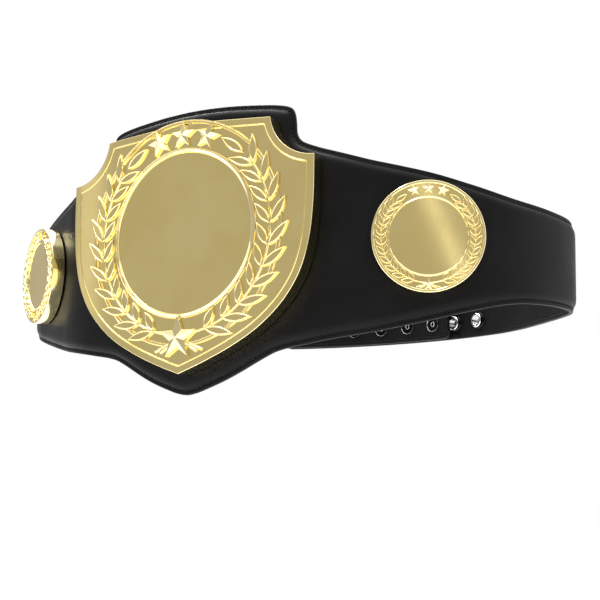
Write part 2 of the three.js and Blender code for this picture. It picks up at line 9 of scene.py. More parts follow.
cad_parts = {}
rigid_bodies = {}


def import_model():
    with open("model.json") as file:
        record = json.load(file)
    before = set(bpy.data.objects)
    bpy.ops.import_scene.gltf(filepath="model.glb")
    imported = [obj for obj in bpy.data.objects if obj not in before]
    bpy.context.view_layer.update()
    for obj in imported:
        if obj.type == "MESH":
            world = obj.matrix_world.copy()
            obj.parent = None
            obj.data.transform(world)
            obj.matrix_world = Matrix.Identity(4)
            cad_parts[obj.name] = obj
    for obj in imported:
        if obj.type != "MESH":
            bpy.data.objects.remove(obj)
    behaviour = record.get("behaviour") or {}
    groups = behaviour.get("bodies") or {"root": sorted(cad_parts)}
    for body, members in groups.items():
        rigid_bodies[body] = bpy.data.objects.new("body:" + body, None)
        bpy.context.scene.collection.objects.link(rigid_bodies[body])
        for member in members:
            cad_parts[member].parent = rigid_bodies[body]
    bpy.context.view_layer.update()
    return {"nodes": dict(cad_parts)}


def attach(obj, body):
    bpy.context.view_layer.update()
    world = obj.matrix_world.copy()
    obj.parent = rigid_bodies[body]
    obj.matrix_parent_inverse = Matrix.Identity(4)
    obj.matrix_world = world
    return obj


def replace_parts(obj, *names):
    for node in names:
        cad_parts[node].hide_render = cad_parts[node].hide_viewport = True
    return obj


for extra in list(bpy.data.objects):
    bpy.data.objects.remove(extra)

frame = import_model()

# Lengths below are in millimetres; a mesh is turned into metres when it is set in place.
MM = 0.001

# Plan of the waist loop, one half, from the middle of the front to the middle of the back.
FRONT_RADIUS, FRONT_LENGTH = 892.0, 96.9
KNUCKLE_RADIUS, KNUCKLE_TURN = 82.4, 22.06
SIDE_SEAT_RADIUS, SIDE_SEAT_LENGTH = 3000.0, 54.14
HIP_FRONT_RADIUS, HIP_FRONT_TURN = 101.36, 58.28
HIP_BACK_RADIUS, BACK_RADIUS = 32.86, 300.26

# Strap.
LEATHER = 2.8
PADDING = 2.2
STITCH_INSET = 2.7
PAD_END, PAD_FADE = 300.0, 30.0
BACK_HALF = 30.0
END_CORNER = 6.0
LOW_SHIFT, LOW_SHIFT_RUN = 4.0, 110.0
LIFT_START, LIFT_LENGTH, LIFT_HEIGHT = 330.0, 95.0, 7.6
OUTER_END, INNER_REACH = 630.0, 642.28
# The top and low edges, from the middle of the front to where the even part begins: (along, height).
TOP_EDGE = [(0, 110.9), (26, 110), (50, 107.8), (64, 106), (73, 103.9), (76.3, 102), (78.3, 98.2),
            (79.3, 92), (79.9, 85), (81.8, 81), (85, 78.2), (90, 75.9), (97, 73.2), (106, 70.4),
            (131, 63.6), (152, 59.1), (172, 54.5), (200, 46.5), (230, 39.2), (262, 35.4), (285, 33.6),
            (300, 32), (330, 30)]
LOW_EDGE = [(0, -88.8), (8, -87.6), (19, -84.1), (31, -79.6), (43, -74.1), (52, -69.5), (60, -65.5),
            (67, -62.4), (74, -60.5), (80, -59.4), (85, -58.6), (91, -57.7), (98, -56.6), (107, -55.2),
            (131, -51.6), (152, -47.4), (172, -43), (200, -36.5), (230, -30.6), (262, -29), (285, -29.2),
            (300, -29.5), (330, -30)]
EDGE_STEP, END_STEP = 2.2, 3.2
STITCH_PITCH, STITCH_LENGTH, THREAD = 3.2, 2.3, 0.8
STITCH_DIP, STITCH_BULGE, STITCH_TWIST = 0.9, 0.16, 3.2

# Snaps: places along the strap, and whether the two halves are closed.
SNAPS = [(562.7, True), (536.4, True), (510.1, True), (483.8, True), (466.3, False), (441.2, False)]
SNAP_ROW = 17.6

# Shield plate. Its face is this far out from the plates' seat, and its disc's middle this far up.
SEAT_GAP = 0.4
SHIELD_FACE = 13.2
SHIELD_CENTRE = 20.75
OUTLINE_STEP = 2.0
SHIELD_CUTS = np.arange(-99, 99.5, 3.0)
BORDER_INSET = 5.05
SHIELD_RING, SHIELD_HOOP, SHIELD_SIDES = 55.6, 76.0, 256
SHIELD_TOP = [(0, 96.3), (22, 96), (46, 94.6), (68, 93.3)]
SIDE_CORNER = (100.2, 64.9)
SHOULDER_RADIUS, SHOULDER_STEPS = 33.0, 24
SHIELD_SIDE = [(100.2, 64.9), (99.9, 34), (97.5, 8.5), (92.6, -9.5), (85.6, -22.8), (75.6, -35.3),
               (61, -47.8), (42, -58.9), (20, -68.6), (0, -75.9)]

# Side plates.
SIDE_PLATE_S, SIDE_PLATE_Z = 170.16, 9.7
SIDE_RADIUS, SIDE_FACE, SIDE_RIM = 36.7, 9.1, 2.1
SIDE_RING, SIDE_RING_SCALE, SIDE_SIDES = 25.0, 0.4, 160
# Where the bright streak crosses the left disc: along the strap and up from the disc's middle.
STREAK_ENDS = ((1.0, 24.0), (18.0, -16.0))

# Wreaths: distances from the middle of the bare disc, angles in degrees from straight down.
LEAVES = 10
BASE_ANGLE, OUTER_TIP, INNER_TIP = (17.8, 126.5), (31.3, 138.1), (28.2, 142.0)
END_LEAF = (136.2, 153.3)
STAR_SPACING = 17.4
STEM_ENDS, STEM_STEPS, STEM_LEAN = (4, 131), 72, 0.3
TAIL_CROSSING = 7
LEAF_FORM = dict(length=21.0, width=5.6, height=1.9, widest=0.86, fullness=0.92, point=1.9)
STAR_FORM = dict(radius=10.0, waist=0.42, root=-0.6, edge=2.0, bevel=0.15, peak=3.7)
SHIELD_WREATH = dict(
    stem=70.0, stem_width=1.7, outer=83.4, inner=60.0, width=1.12, height=1.1, end_width=1.12,
    star=67.8, star_radius=9.6, star_height=1.0, foot=72.2, foot_radius=15.6, foot_height=1.2,
    tail=(72.0, 83.0), tail_spread=11.8, tail_gap=1.5, tail_width=2.3,
)
SIDE_WREATH = dict(
    stem=30.3, stem_width=0.9, outer=34.2, inner=26.9, width=0.6, height=0.8, end_width=1.0,
    star=31.2, star_radius=4.0, star_height=0.42, foot=31.6, foot_radius=4.6, foot_height=0.45,
    tail=(31.0, 34.0), tail_spread=11.0, tail_gap=2.0, tail_width=0.9,
)


def plan_arcs():
    """Radius and turn of each arc of the loop; the back arc is centred on the middle plane."""
    rows = [
        (FRONT_RADIUS, FRONT_LENGTH / FRONT_RADIUS),
        (KNUCKLE_RADIUS, math.radians(KNUCKLE_TURN)),
        (SIDE_SEAT_RADIUS, SIDE_SEAT_LENGTH / SIDE_SEAT_RADIUS),
        (HIP_FRONT_RADIUS, math.radians(HIP_FRONT_TURN)),
    ]
    angle = x = 0.0
    for radius, turn in rows:
        x += radius * (math.sin(angle + turn) - math.sin(angle))
        angle += turn
    hip_end = math.pi - math.asin((x - HIP_BACK_RADIUS * math.sin(angle)) / (BACK_RADIUS - HIP_BACK_RADIUS))
    return rows + [(HIP_BACK_RADIUS, hip_end - angle), (BACK_RADIUS, math.pi - hip_end)]


ARCS = plan_arcs()
HALF = sum(radius * turn for radius, turn in ARCS)


def walk(s):
    """Plan points and outward angles at the distances s along the loop."""
    s = np.asarray(s, float)
    s = s - 2 * HALF * np.round(s / (2 * HALF))
    rest, angle = np.abs(s), np.zeros_like(s)
    x, y = np.zeros_like(s), np.zeros_like(s)
    for radius, turn in ARCS:
        part = np.clip(rest / radius, 0, turn)
        x += radius * (np.sin(angle + part) - np.sin(angle))
        y += radius * (np.cos(angle) - np.cos(angle + part))
        angle = angle + part
        rest = rest - part * radius
    side = np.where(s < 0, -1.0, 1.0)
    return side * x, y, side * angle


DEPTH = float(walk([HALF])[1][0])


def wrap(points):
    """Sets flat points (along the strap, height, out from the plates' seat) on the loop, in metres."""
    points = np.asarray(points, float)
    x, y, angle = walk(points[:, 0])
    off = points[:, 2]
    return np.stack([x + off * np.sin(angle), y - DEPTH / 2 - off * np.cos(angle), points[:, 1]], 1) * MM


def outward(s):
    """Directions straight out of the loop at the distances s."""
    angle = walk(s)[2]
    return np.stack([np.sin(angle), -np.cos(angle), np.zeros_like(angle)], 1)


def ease(t):
    t = np.clip(t, 0, 1)
    return t * t * (3 - 2 * t)


def curve_piece(a, b, c, d, count):
    """Points of a smooth line from b up to c, with the points before and after them as its guides."""
    t0, t1, t2 = (math.sqrt(np.linalg.norm(v)) for v in (b - a, c - b, d - c))
    m1 = ((b - a) / t0 - (c - a) / (t0 + t1) + (c - b) / t1) * t1
    m2 = ((c - b) / t1 - (d - b) / (t1 + t2) + (d - c) / t2) * t1
    return [b + m1 * t + (3 * (c - b) - 2 * m1 - m2) * t**2 + (2 * (b - c) + m1 + m2) * t**3
            for t in np.arange(count) / count]


def curve_through(points, step, mirrored_start=False):
    """A smooth line through the points, with about step between its own points."""
    p = np.asarray(points, float)
    before = p[1] * (-1, 1) if mirrored_start else 2 * p[0] - p[1]
    p = np.vstack([before, p, 2 * p[-1] - p[-2]])
    out = []
    for a, b, c, d in zip(p, p[1:], p[2:], p[3:]):
        out += curve_piece(a, b, c, d, max(int(math.ceil(np.linalg.norm(c - b) / step)), 1))
    return np.array(out + [p[-2]])


def inset(outline, distance):
    """Moves a closed outline, drawn clockwise, in by a distance, with its corners kept sharp."""
    u = outline - np.roll(outline, 1, 0)
    v = np.roll(outline, -1, 0) - outline
    u /= np.linalg.norm(u, axis=1)[:, None]
    v /= np.linalg.norm(v, axis=1)[:, None]
    m = np.stack([u[:, 1] + v[:, 1], -u[:, 0] - v[:, 0]], 1)
    m /= np.linalg.norm(m, axis=1)[:, None]
    reach = distance / np.maximum(m[:, 0] * u[:, 1] - m[:, 1] * u[:, 0], 0.35)
    return outline + m * reach[:, None]


def trimmed(outline, distance):
    """An inset outline without the small loops that finely stepped corners leave."""
    line, n = inset(outline, distance), len(outline)
    run = np.roll(outline, -1, 0) - outline
    away = line[:, None] - outline[None]
    share = np.clip((away * run).sum(-1) / (run**2).sum(-1), 0, 1)
    clear = np.linalg.norm(away - share[..., None] * run, axis=-1).min(1) > 0.985 * distance
    kept = np.flatnonzero(clear & np.roll(clear, 1) & np.roll(clear, -1))
    made = []
    for i, j in zip(kept, np.roll(kept, -1)):
        made.append(line[i])
        if (j - i) % n > 1:
            a, u = line[i], line[i] - line[i - 1]
            b, v = line[j], line[(j + 1) % n] - line[j]
            made.append(a + u * np.linalg.solve(np.column_stack([u, -v]), b - a)[0])
    return np.array(made)


# Meshes.

# Metres within which doubles are welded: on small forms, and on the plates' pieces once they are seated.
WELD, PLATE_WELD = 1e-6, 2e-6
# Angle in degrees past which an edge is shaded crisp.
TURNED_SHARP = 32
STRAP_SHARP, STITCH_SHARP = 60, 80
BASE_SHARP, LEAF_SHARP, STAR_SHARP, BEAD_SHARP = 20, 50, 12, 40


def new_object(name, vertices, faces, finishes=(), picks=None):
    mesh = bpy.data.meshes.new(name)
    mesh.from_pydata([tuple(v) for v in vertices], [], [tuple(f) for f in faces])
    for finish in finishes:
        mesh.materials.append(finish)
    if picks is not None:
        mesh.polygons.foreach_set("material_index", picks)
    obj = bpy.data.objects.new(name, mesh)
    bpy.context.scene.collection.objects.link(obj)
    return obj


def tidy(obj, sharp, merge=WELD):
    """Welds doubles, turns the faces outwards, and shades smooth but for edges past the sharp angle."""
    form = bmesh.new()
    form.from_mesh(obj.data)
    bmesh.ops.remove_doubles(form, verts=form.verts, dist=merge)
    bmesh.ops.recalc_face_normals(form, faces=form.faces)
    form.to_mesh(obj.data)
    form.free()
    obj.data.shade_smooth()
    obj.data.set_sharp_from_angle(angle=math.radians(sharp))
    return obj


def skin(rows):
    """Vertices and faces of a closed form through rows of points, each row a loop of the same count."""
    count, n = len(rows), len(rows[0])
    faces = []
    for a in range(0, (count - 1) * n, n):
        faces += [(a + j, a + (j + 1) % n, a + n + (j + 1) % n, a + n + j) for j in range(n)]
    faces.append(tuple(range(n))[::-1])
    faces.append(tuple(range((count - 1) * n, count * n)))
    return np.concatenate(rows), faces


def turned(name, profile, sides, finishes, picks):
    """A piece turned about Z from (radius, height) rows, with a finish for each band between two rows."""
    angles = 2 * np.pi * np.arange(sides) / sides
    ring = np.stack([np.cos(angles), np.sin(angles)], 1)
    rows = [np.column_stack([ring * max(r, 1e-4), np.full(sides, h)]) for r, h in profile]
    vertices, faces = skin(rows)
    marks = [p for p in picks for _ in range(sides)] + [picks[0], picks[-1]]
    return tidy(new_object(name, vertices, faces, finishes, marks), TURNED_SHARP)


def remap(obj, place):
    """Moves every vertex of the object from its drawing to where place puts it."""
    co = np.empty(len(obj.data.vertices) * 3)
    obj.data.vertices.foreach_get("co", co)
    obj.data.vertices.foreach_set("co", place(co.reshape(-1, 3)).ravel())
    obj.data.update()
    return obj


def joined(name, objects):
    """One object from several, with their finishes kept."""
    finishes = []
    form = bmesh.new()
    for obj in objects:
        start = len(form.faces)
        form.from_mesh(obj.data)
        form.faces.ensure_lookup_table()
        own = list(obj.data.materials)
        for finish in own:
            if finish not in finishes:
                finishes.append(finish)
        for face in form.faces[start:]:
            face.material_index = finishes.index(own[face.material_index])
    mesh = bpy.data.meshes.new(name)
    form.to_mesh(mesh)
    form.free()
    for finish in finishes:
        mesh.materials.append(finish)
    for obj in objects:
        bpy.data.objects.remove(obj)
    made = bpy.data.objects.new(name, mesh)
    bpy.context.scene.collection.objects.link(made)
    return made


# Geometry node trees.


class Tree:
    """A geometry tree that is written one node a line."""

    def __init__(self, name, inputs):
        self.group = bpy.data.node_groups.new(name, "GeometryNodeTree")
        face = self.group.interface
        face.new_socket("Geometry", in_out="INPUT", socket_type="NodeSocketGeometry")
        for label, kind in inputs:
            face.new_socket(label, in_out="INPUT", socket_type="NodeSocket" + kind)
        face.new_socket("Geometry", in_out="OUTPUT", socket_type="NodeSocketGeometry")
        self.start = self.group.nodes.new("NodeGroupInput")
        self.end = self.group.nodes.new("NodeGroupOutput")

    def node(self, kind, links=(), **settings):
        node = self.group.nodes.new(kind)
        for key, value in settings.items():
            setattr(node, key, value)
        for socket, source in links:
            target = next(i for i in node.inputs if i.name == socket and i.enabled)
            if hasattr(source, "is_linked"):
                self.group.links.new(source, target)
            else:
                target.default_value = source
        return node

    def attribute(self, name, kind):
        node = self.node("GeometryNodeInputNamedAttribute", [("Name", name)], data_type=kind)
        return next(o for o in node.outputs if o.enabled and o.name == "Attribute")

    def finish(self, source):
        self.group.links.new(source, self.end.inputs[0])
        return self.group


def facing(tree, along, out):
    """A turn that lays X along one direction and Z as near as can be to the other."""
    first = tree.node("FunctionNodeAlignRotationToVector", [("Vector", along)], axis="X")
    second = tree.node("FunctionNodeAlignRotationToVector", [
        ("Rotation", first.outputs[0]), ("Vector", out)], axis="Z", pivot_axis="X")
    return second.outputs[0]


def forms_tree():
    """Sets a form on each point, turned and sized by the point's own along, out and size."""
    tree = Tree("forms_on_points", [
        ("Form", "Object"), ("Rim finish", "Material"), ("Face finish", "Material")])
    inputs = tree.start.outputs
    points = tree.node("GeometryNodeMeshToPoints", [("Mesh", inputs["Geometry"])])
    form = tree.node("GeometryNodeObjectInfo", [("Object", inputs["Form"])])
    turn = facing(tree, tree.attribute("along", "FLOAT_VECTOR"), tree.attribute("out", "FLOAT_VECTOR"))
    placed = tree.node("GeometryNodeInstanceOnPoints", [
        ("Points", points.outputs["Points"]), ("Instance", form.outputs["Geometry"]), ("Rotation", turn),
        ("Scale", tree.attribute("size", "FLOAT_VECTOR"))])
    real = tree.node("GeometryNodeRealizeInstances", [("Geometry", placed.outputs["Instances"])])
    rim = tree.node("GeometryNodeSetMaterial", [("Geometry", real.outputs["Geometry"]),
                                                ("Material", inputs["Rim finish"])])
    face = tree.node("GeometryNodeSetMaterial", [
        ("Geometry", rim.outputs["Geometry"]), ("Selection", tree.attribute("face", "BOOLEAN")),
        ("Material", inputs["Face finish"])])
    return tree.finish(face.outputs["Geometry"])


def stitches_tree():
    """Lays stitches of one pitch along a path that carries the leather's outward direction."""
    tree = Tree("stitches_on_path", [
        ("Pitch", "Float"), ("Stitch", "Object"), ("Thread finish", "Material")])
    inputs = tree.start.outputs
    path = tree.node("GeometryNodeMeshToCurve", [("Mesh", inputs["Geometry"])])
    points = tree.node("GeometryNodeCurveToPoints", [
        ("Curve", path.outputs["Curve"]), ("Length", inputs["Pitch"])], mode="LENGTH")
    form = tree.node("GeometryNodeObjectInfo", [("Object", inputs["Stitch"])])
    turn = facing(tree, points.outputs["Tangent"], tree.attribute("out", "FLOAT_VECTOR"))
    placed = tree.node("GeometryNodeInstanceOnPoints", [
        ("Points", points.outputs["Points"]), ("Instance", form.outputs["Geometry"]), ("Rotation", turn)])
    real = tree.node("GeometryNodeRealizeInstances", [("Geometry", placed.outputs["Instances"])])
    done = tree.node("GeometryNodeSetMaterial", [("Geometry", real.outputs["Geometry"]),
                                                 ("Material", inputs["Thread finish"])])
    return tree.finish(done.outputs["Geometry"])


def bead_tree():
    """Sweeps a profile along a flat path; the profile's Y stands up from the path's plane."""
    tree = Tree("bead_on_path", [("Profile", "Object"), ("Finish", "Material")])
    inputs = tree.start.outputs
    path = tree.node("GeometryNodeMeshToCurve", [("Mesh", inputs["Geometry"])])
    level = tree.node("GeometryNodeSetCurveNormal", [("Curve", path.outputs["Curve"])], mode="Z_UP")
    form = tree.node("GeometryNodeObjectInfo", [("Object", inputs["Profile"])])
    profile = tree.node("GeometryNodeMeshToCurve", [("Mesh", form.outputs["Geometry"])])
    swept = tree.node("GeometryNodeCurveToMesh", [
        ("Curve", level.outputs["Curve"]), ("Profile Curve", profile.outputs["Curve"]),
        ("Fill Caps", True)])
    real = tree.node("GeometryNodeRealizeInstances", [("Geometry", swept.outputs["Mesh"])])
    done = tree.node("GeometryNodeSetMaterial", [("Geometry", real.outputs["Geometry"]),
                                                 ("Material", inputs["Finish"])])
    return tree.finish(done.outputs["Geometry"])


def grown(name, seed, group, values):
    """A plain mesh object from the seed mesh and a tree; the seed goes."""
    modifier = seed.modifiers.new("form", "NODES")
    modifier.node_group = group
    for item in group.interface.items_tree:
        if item.item_type == "SOCKET" and item.in_out == "INPUT" and item.name in values:
            modifier[item.identifier] = values[item.name]
    seed.update_tag()
    bpy.context.view_layer.update()
    graph = bpy.context.evaluated_depsgraph_get()
    mesh = bpy.data.meshes.new_from_object(seed.evaluated_get(graph), depsgraph=graph)
    mesh.name = name
    bpy.data.objects.remove(seed)
    obj = bpy.data.objects.new(name, mesh)
    bpy.context.scene.collection.objects.link(obj)
    return obj


def with_vectors(obj, vectors):
    for key, rows in vectors.items():
        stored = obj.data.attributes.new(key, "FLOAT_VECTOR", "POINT")
        stored.data.foreach_set("vector", np.asarray(rows, float).ravel())
    return obj


def points_object(name, at, **vectors):
    return with_vectors(new_object(name, at, []), vectors)


def path_object(name, at, closed, **vectors):
    count = len(at)
    mesh = bpy.data.meshes.new(name)
    edges = [(i, i + 1) for i in range(count - 1)] + ([(count - 1, 0)] if closed else [])
    mesh.from_pydata([tuple(p) for p in at], edges, [])
    obj = bpy.data.objects.new(name, mesh)
    bpy.context.scene.collection.objects.link(obj)
    return with_vectors(obj, vectors)


def mark_face(obj, chosen):
    """Marks the faces that take the face finish."""
    obj.data.attributes.new("face", "BOOLEAN", "FACE").data.foreach_set("value", chosen)
    return obj


# Finishes.


def finish(name, colour, metallic, roughness, **sockets):
    """A new material and its shader, with the plain values set on the shader's own sockets."""
    material = bpy.data.materials.new(name)
    material.use_nodes = True
    shader = material.node_tree.nodes["Principled BSDF"]
    shader.inputs["Base Color"].default_value = (*colour, 1)
    shader.inputs["Metallic"].default_value = metallic
    shader.inputs["Roughness"].default_value = roughness
    for key, value in sockets.items():
        shader.inputs[key.replace("_", " ")].default_value = value
    return material, shader


def shade(material, kind, links=(), **settings):
    """A shader node with its inputs linked or set."""
    node = material.node_tree.nodes.new(kind)
    for key, value in settings.items():
        setattr(node, key, value)
    for socket, source in links:
        target = node.inputs[socket]
        if hasattr(source, "is_linked"):
            material.node_tree.links.new(source, target)
        else:
            target.default_value = source
    return node


def spots(material, scale, detail=2.0, stretch=(1, 1, 1)):
    """Noise in the object's own space."""
    place = shade(material, "ShaderNodeTexCoord").outputs["Object"]
    sized = shade(material, "ShaderNodeMapping", [("Vector", place), ("Scale", stretch)])
    return shade(material, "ShaderNodeTexNoise", [
        ("Vector", sized.outputs[0]), ("Scale", scale), ("Detail", detail)]).outputs[0]


def between(material, value, low, high, start=0.3, end=0.7):
    """Maps a value that runs from start to end onto low to high."""
    node = shade(material, "ShaderNodeMapRange", [
        ("Value", value), ("From Min", start), ("From Max", end), ("To Min", low), ("To Max", high)])
    return node.outputs[0]


def blend_colours(material, value, dark, light):
    ramp = shade(material, "ShaderNodeValToRGB", [("Fac", value)])
    for element, position, colour in zip(ramp.color_ramp.elements, (0.35, 0.65), (dark, light)):
        element.position = position
        element.color = (*colour, 1)
    return ramp.outputs["Color"]


def metal(name, dark, light, roughness, spread, ripple, wear):
    """Plated metal: slow change of colour, fine rub marks that spread its roughness, slight waviness."""
    material, shader = finish(name, light, 1.0, roughness)
    link = material.node_tree.links.new
    link(blend_colours(material, spots(material, 26, 3), dark, light), shader.inputs["Base Color"])
    rubbed = spots(material, 900, 4, (1, 1, 0.12))
    cloud = spots(material, 60, 3)
    both = shade(material, "ShaderNodeMath", [(0, rubbed), (1, cloud)], operation="MULTIPLY")
    gloss = between(material, both.outputs[0], roughness, roughness + spread, 0.15, 0.4)
    link(gloss, shader.inputs["Roughness"])
    wave = shade(material, "ShaderNodeBump", [
        ("Strength", wear), ("Distance", ripple * MM), ("Height", spots(material, 140, 2))])
    fine = shade(material, "ShaderNodeBump", [
        ("Strength", 0.05), ("Distance", 0.01 * MM), ("Height", rubbed), ("Normal", wave.outputs[0])])
    link(fine.outputs[0], shader.inputs["Normal"])
    return material


def hide(name, dark, light, roughness, pebble, depth):
    """Dressed leather: fine pebble grain, pores, and a slow change of gloss."""
    material, shader = finish(name, light, 0.0, roughness, Specular_IOR_Level=0.14)
    link = material.node_tree.links.new
    place = shade(material, "ShaderNodeTexCoord").outputs["Object"]
    cells = shade(material, "ShaderNodeTexVoronoi", [
        ("Vector", place), ("Scale", pebble), ("Randomness", 0.9)], feature="DISTANCE_TO_EDGE")
    grain = between(material, cells.outputs["Distance"], 0.0, 1.0, 0.0, 0.12)
    link(blend_colours(material, spots(material, 34, 4), dark, light), shader.inputs["Base Color"])
    gloss = between(material, spots(material, 48, 5), roughness - 0.05, roughness + 0.07)
    link(gloss, shader.inputs["Roughness"])
    soft = shade(material, "ShaderNodeBump", [
        ("Strength", 0.35), ("Distance", depth * MM * 3), ("Height", spots(material, 190, 3))])
    pebbled = shade(material, "ShaderNodeBump", [
        ("Strength", 0.5), ("Distance", depth * MM), ("Height", grain), ("Normal", soft.outputs[0])])
    link(pebbled.outputs[0], shader.inputs["Normal"])
    return material


GOLD_DARK, GOLD_LIGHT = (0.86, 0.68, 0.27), (0.90, 0.73, 0.32)
gold_satin = metal("gold_satin", GOLD_DARK, GOLD_LIGHT, 0.07, 0.02, 0.01, 0.03)
# A lighter copy of the same gold, at the same roughness, for walls, rims, bevels, stars, stems and rings:
# painted highlight that makes them read paler than the flat faces.
gold_painted_highlight = metal("gold_painted_highlight", (0.92, 0.78, 0.40), (0.95, 0.82, 0.46), 0.07, 0.05, 0.03, 0.2)
nickel = metal("nickel_plate", (0.66, 0.66, 0.65), (0.78, 0.78, 0.77), 0.18, 0.1, 0.02, 0.2)
snap_black = metal("snap_black", (0.02, 0.02, 0.022), (0.035, 0.035, 0.038), 0.22, 0.12, 0.02, 0.3)
leather = hide("black_leather", (0.0018, 0.0018, 0.0019), (0.0034, 0.0034, 0.0035), 0.4, 950, 0.03)
lining = hide("lining_leather", (0.0018, 0.0018, 0.0019), (0.003, 0.003, 0.0031), 0.55, 1300, 0.03)
thread = hide("black_thread", (0.004, 0.004, 0.004), (0.012, 0.012, 0.012), 0.5, 4200, 0.02)


# Strap: a padded front face, a flat border with a sewn channel, rounded edges and a thin back.


def edge_rows():
    """Top and low edge points of the right half's front part, paired."""
    top, low = [], []
    for i in range(len(TOP_EDGE) - 1):
        longest = max(math.dist(TOP_EDGE[i], TOP_EDGE[i + 1]), math.dist(LOW_EDGE[i], LOW_EDGE[i + 1]))
        count = max(int(math.ceil(longest / EDGE_STEP)), 3)
        for edge, made in ((TOP_EDGE, top), (LOW_EDGE, low)):
            ends = [edge[i - 1] if i else (-edge[1][0], edge[1][1]), edge[i], edge[i + 1],
                    edge[i + 2] if i + 2 < len(edge) else (2 * edge[-1][0] - edge[-2][0], edge[-1][1])]
            made += curve_piece(*(np.array(p, float) for p in ends), count)
    return np.array(top), np.array(low)


def end_rows(reach):
    """Edge points of the even part behind the hips, out to an end with rounded corners."""
    last = reach - END_CORNER
    stations = list(np.linspace(TOP_EDGE[-1][0], last, int((last - TOP_EDGE[-1][0]) / END_STEP)))
    stations += [last + END_CORNER * math.sin(a) for a in np.radians([15, 30, 45, 60, 75, 84, 90])]
    s = np.array(stations)
    half = BACK_HALF - END_CORNER + np.sqrt(np.maximum(END_CORNER**2 - np.maximum(s - last, 0) ** 2, 0))
    return np.stack([s, half], 1), np.stack([s, -half], 1)


def pad_height(s):
    """How far the padding raises the front face, fading out behind the hips."""
    return PADDING * (1 - ease((np.abs(s) - PAD_END) / PAD_FADE))


def lift(s):
    """How far the outer end rises to lie over the inner end."""
    return LIFT_HEIGHT * ease((s - LIFT_START) / LIFT_LENGTH)


def strap_edges():
    top, low = edge_rows()
    right, left = end_rows(OUTER_END), end_rows(INNER_REACH)
    flip = np.array([-1, 1])
    tops = np.concatenate([(np.concatenate([top, left[0]]) * flip)[:0:-1], top, right[0]])
    lows = np.concatenate([(np.concatenate([low, left[1]]) * flip)[:0:-1], low, right[1]])
    lows[:, 0] -= LOW_SHIFT * (1 - ease(np.abs(lows[:, 0]) / LOW_SHIFT_RUN))
    return tops, lows


def edge_normals(edge, side):
    """Flat directions in from an edge."""
    run = np.gradient(edge, axis=0)
    run /= np.linalg.norm(run, axis=1)[:, None]
    return np.stack([run[:, 1], -run[:, 0]], 1) * side


# Across the strap: distance in from the edge, share of the leather's thickness below the border's face,
# and share of the padding's height.
BORDER = [(1.2, 1.0, 0), (0.5, 0.97, 0), (0.13, 0.86, 0), (0.0, 0.66, 0), (0.05, 0.55, 0), (0.26, 0.5, 0),
          (0.05, 0.45, 0), (0.0, 0.34, 0), (0.13, 0.14, 0), (0.5, 0.03, 0), (1.2, 0.0, 0), (1.8, -0.01, 0),
          (2.1, 0.02, 0), (2.4, 0.08, 0), (2.7, 0.12, 0), (3.0, 0.08, 0.03), (3.3, 0.02, 0.14),
          (3.8, 0, 0.32), (4.6, 0, 0.54), (5.6, 0, 0.74), (6.8, 0, 0.88), (8.2, 0, 0.97), (9.8, 0, 1.0)]
# Shares of the way between the two borders, and how much thinner the last rows are, from the end in.
ACROSS = np.linspace(0, 1, 12)[1:-1]
END_THINNING = (1.1, 0.35, 0.08)


def strap_mesh():
    tops, lows = strap_edges()
    n_top, n_low = edge_normals(tops, 1), edge_normals(lows, -1)
    count = len(tops)
    thin = np.zeros(count)
    thin[:3], thin[-3:] = END_THINNING, END_THINNING[::-1]

    def line(edge, normals, depth, below, raised):
        at = edge + normals * depth
        s = at[:, 0]
        share = np.clip((below - 0.5) * -2, -1, 1) * thin
        off = -PADDING - LEATHER * below + pad_height(s) * raised + lift(s) - share
        return np.column_stack([at, off])

    columns = [line(lows, n_low, *row) for row in BORDER]
    a, b = columns[-1], line(tops, n_top, *BORDER[-1])
    columns += [a + (b - a) * share for share in ACROSS]
    columns += [line(tops, n_top, *row) for row in reversed(BORDER)]
    a, b = columns[-1], columns[0]
    columns += [a + (b - a) * share for share in ACROSS]
    rows = np.stack(columns, 1)
    vertices, faces = skin(list(wrap(rows.reshape(-1, 3)).reshape(rows.shape)))
    outer_bands = len(BORDER) * 2 + len(ACROSS) - 1
    picks = [1 if j >= outer_bands else 0 for _ in range(count - 1) for j in range(rows.shape[1])] + [0, 0]
    return tidy(new_object("strap_leather", vertices, faces, [leather, lining], picks), STRAP_SHARP)


def stitch_form():
    """One stitch: two strands twisted together, with both ends dipping into the leather."""
    rows = []
    for t in np.linspace(-1, 1, 9):
        swell = math.sqrt(max(1 - t**4, 0.04))
        dip = -STITCH_DIP * THREAD * t**4
        ring = []
        for j in range(8):
            angle = 2 * math.pi * j / 8
            bulge = 1 + STITCH_BULGE * math.cos(2 * (angle - t * STITCH_TWIST))
            ring.append((t * STITCH_LENGTH / 2, THREAD / 2 * swell * bulge * math.cos(angle),
                         THREAD / 2 * swell * bulge * math.sin(angle) + dip))
        rows.append(np.array(ring) * MM)
    vertices, faces = skin(rows)
    return tidy(new_object("stitch_form", vertices, faces), STITCH_SHARP)


def sewn_line(name, below, group, form):
    """Stitches all round the strap, one stitch inset in from its edge."""
    tops, lows = strap_edges()
    outline = np.concatenate([tops, lows[::-1]])
    at = inset(outline, STITCH_INSET)
    s = at[:, 0]
    off = -PADDING - LEATHER * below + lift(s)
    out = outward(s) * (1 if below < 0.5 else -1)
    path = path_object(name + "_path", wrap(np.column_stack([at, off])), True, out=out)
    return grown(name, path, group, {"Pitch": STITCH_PITCH * MM, "Stitch": form, "Thread finish": thread})


strap = strap_mesh()
stitches = stitches_tree()
one_stitch = stitch_form()
face_seam = sewn_line("seam_face", 0.0, stitches, one_stitch)
lining_seam = sewn_line("seam_lining", 1.02, stitches, one_stitch)
bpy.data.objects.remove(one_stitch)


# Plates.


